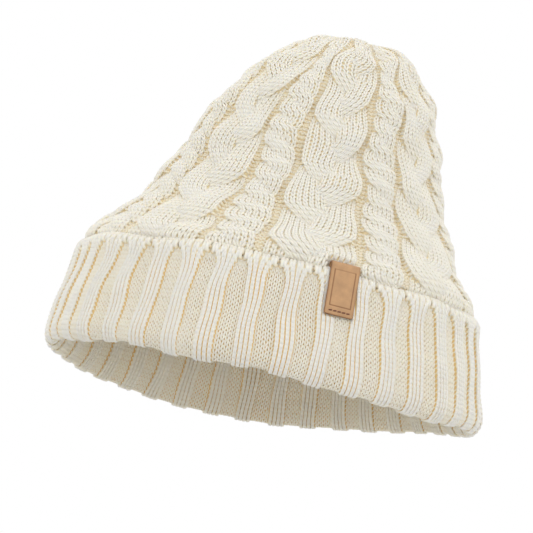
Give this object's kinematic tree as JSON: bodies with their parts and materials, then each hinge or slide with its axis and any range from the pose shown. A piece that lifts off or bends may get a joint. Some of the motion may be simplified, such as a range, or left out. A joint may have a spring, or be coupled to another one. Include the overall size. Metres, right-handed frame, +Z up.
{
  "type": "knit beanie",
  "caption": "Soft cable-knit beanie with a turned-up ribbed brim and a small plain leather label folded over the cuff.",
  "frame": {"origin": "middle of the head opening, level with the brim's lowest edge, with the hat standing upright on its brim", "axes": "+Z up from the opening to the crown, -Y to the wearer's front, +X to the right of a viewer facing the front; the label sits 16 degrees from -Y towards +X"},
  "size_m": [0.206, 0.206, 0.171],
  "materials": {
    "rib_knit": "matt wool-blend rib knit",
    "cable_knit": "matt wool-blend cable knit",
    "yarn": "matt plied yarn",
    "label_leather": "smooth tan leather, cut edges",
    "label_thread": "dark waxed thread"
  },
  "bodies": {
    "crown_base": {"inner_brim": "rib_knit", "crown_wall": "cable_knit"},
    "crown_top": {"crown_dome": "cable_knit", "closing_yarn": "yarn", "closing_knot": "yarn"},
    "turned_fold": {"brim_fold": "rib_knit"},
    "turned_cuff": {"cuff": "rib_knit", "cuff_edge": "rib_knit", "leather_label": "label_leather", "label_thread": "label_thread"}
  },
  "joints": [
    {"name": "crown_slouch", "type": "hinge", "parent": "crown_base", "child": "crown_top", "pos_m": [0.0047, 0, 0.082], "axis": [-1, 0, 0], "range_deg": [-12, 20]},
    {"name": "fold_drop", "type": "slide", "parent": "crown_base", "child": "turned_fold", "axis": [0, 0, -1], "range_m": [0, 0.012]},
    {"name": "cuff_pull", "type": "slide", "parent": "turned_fold", "child": "turned_cuff", "axis": [0, 0, -1], "range_m": [0, 0.012]}
  ],
  "couplings": [
    {"joint": "cuff_pull", "follows": "fold_drop", "ratio": 1}
  ]
}
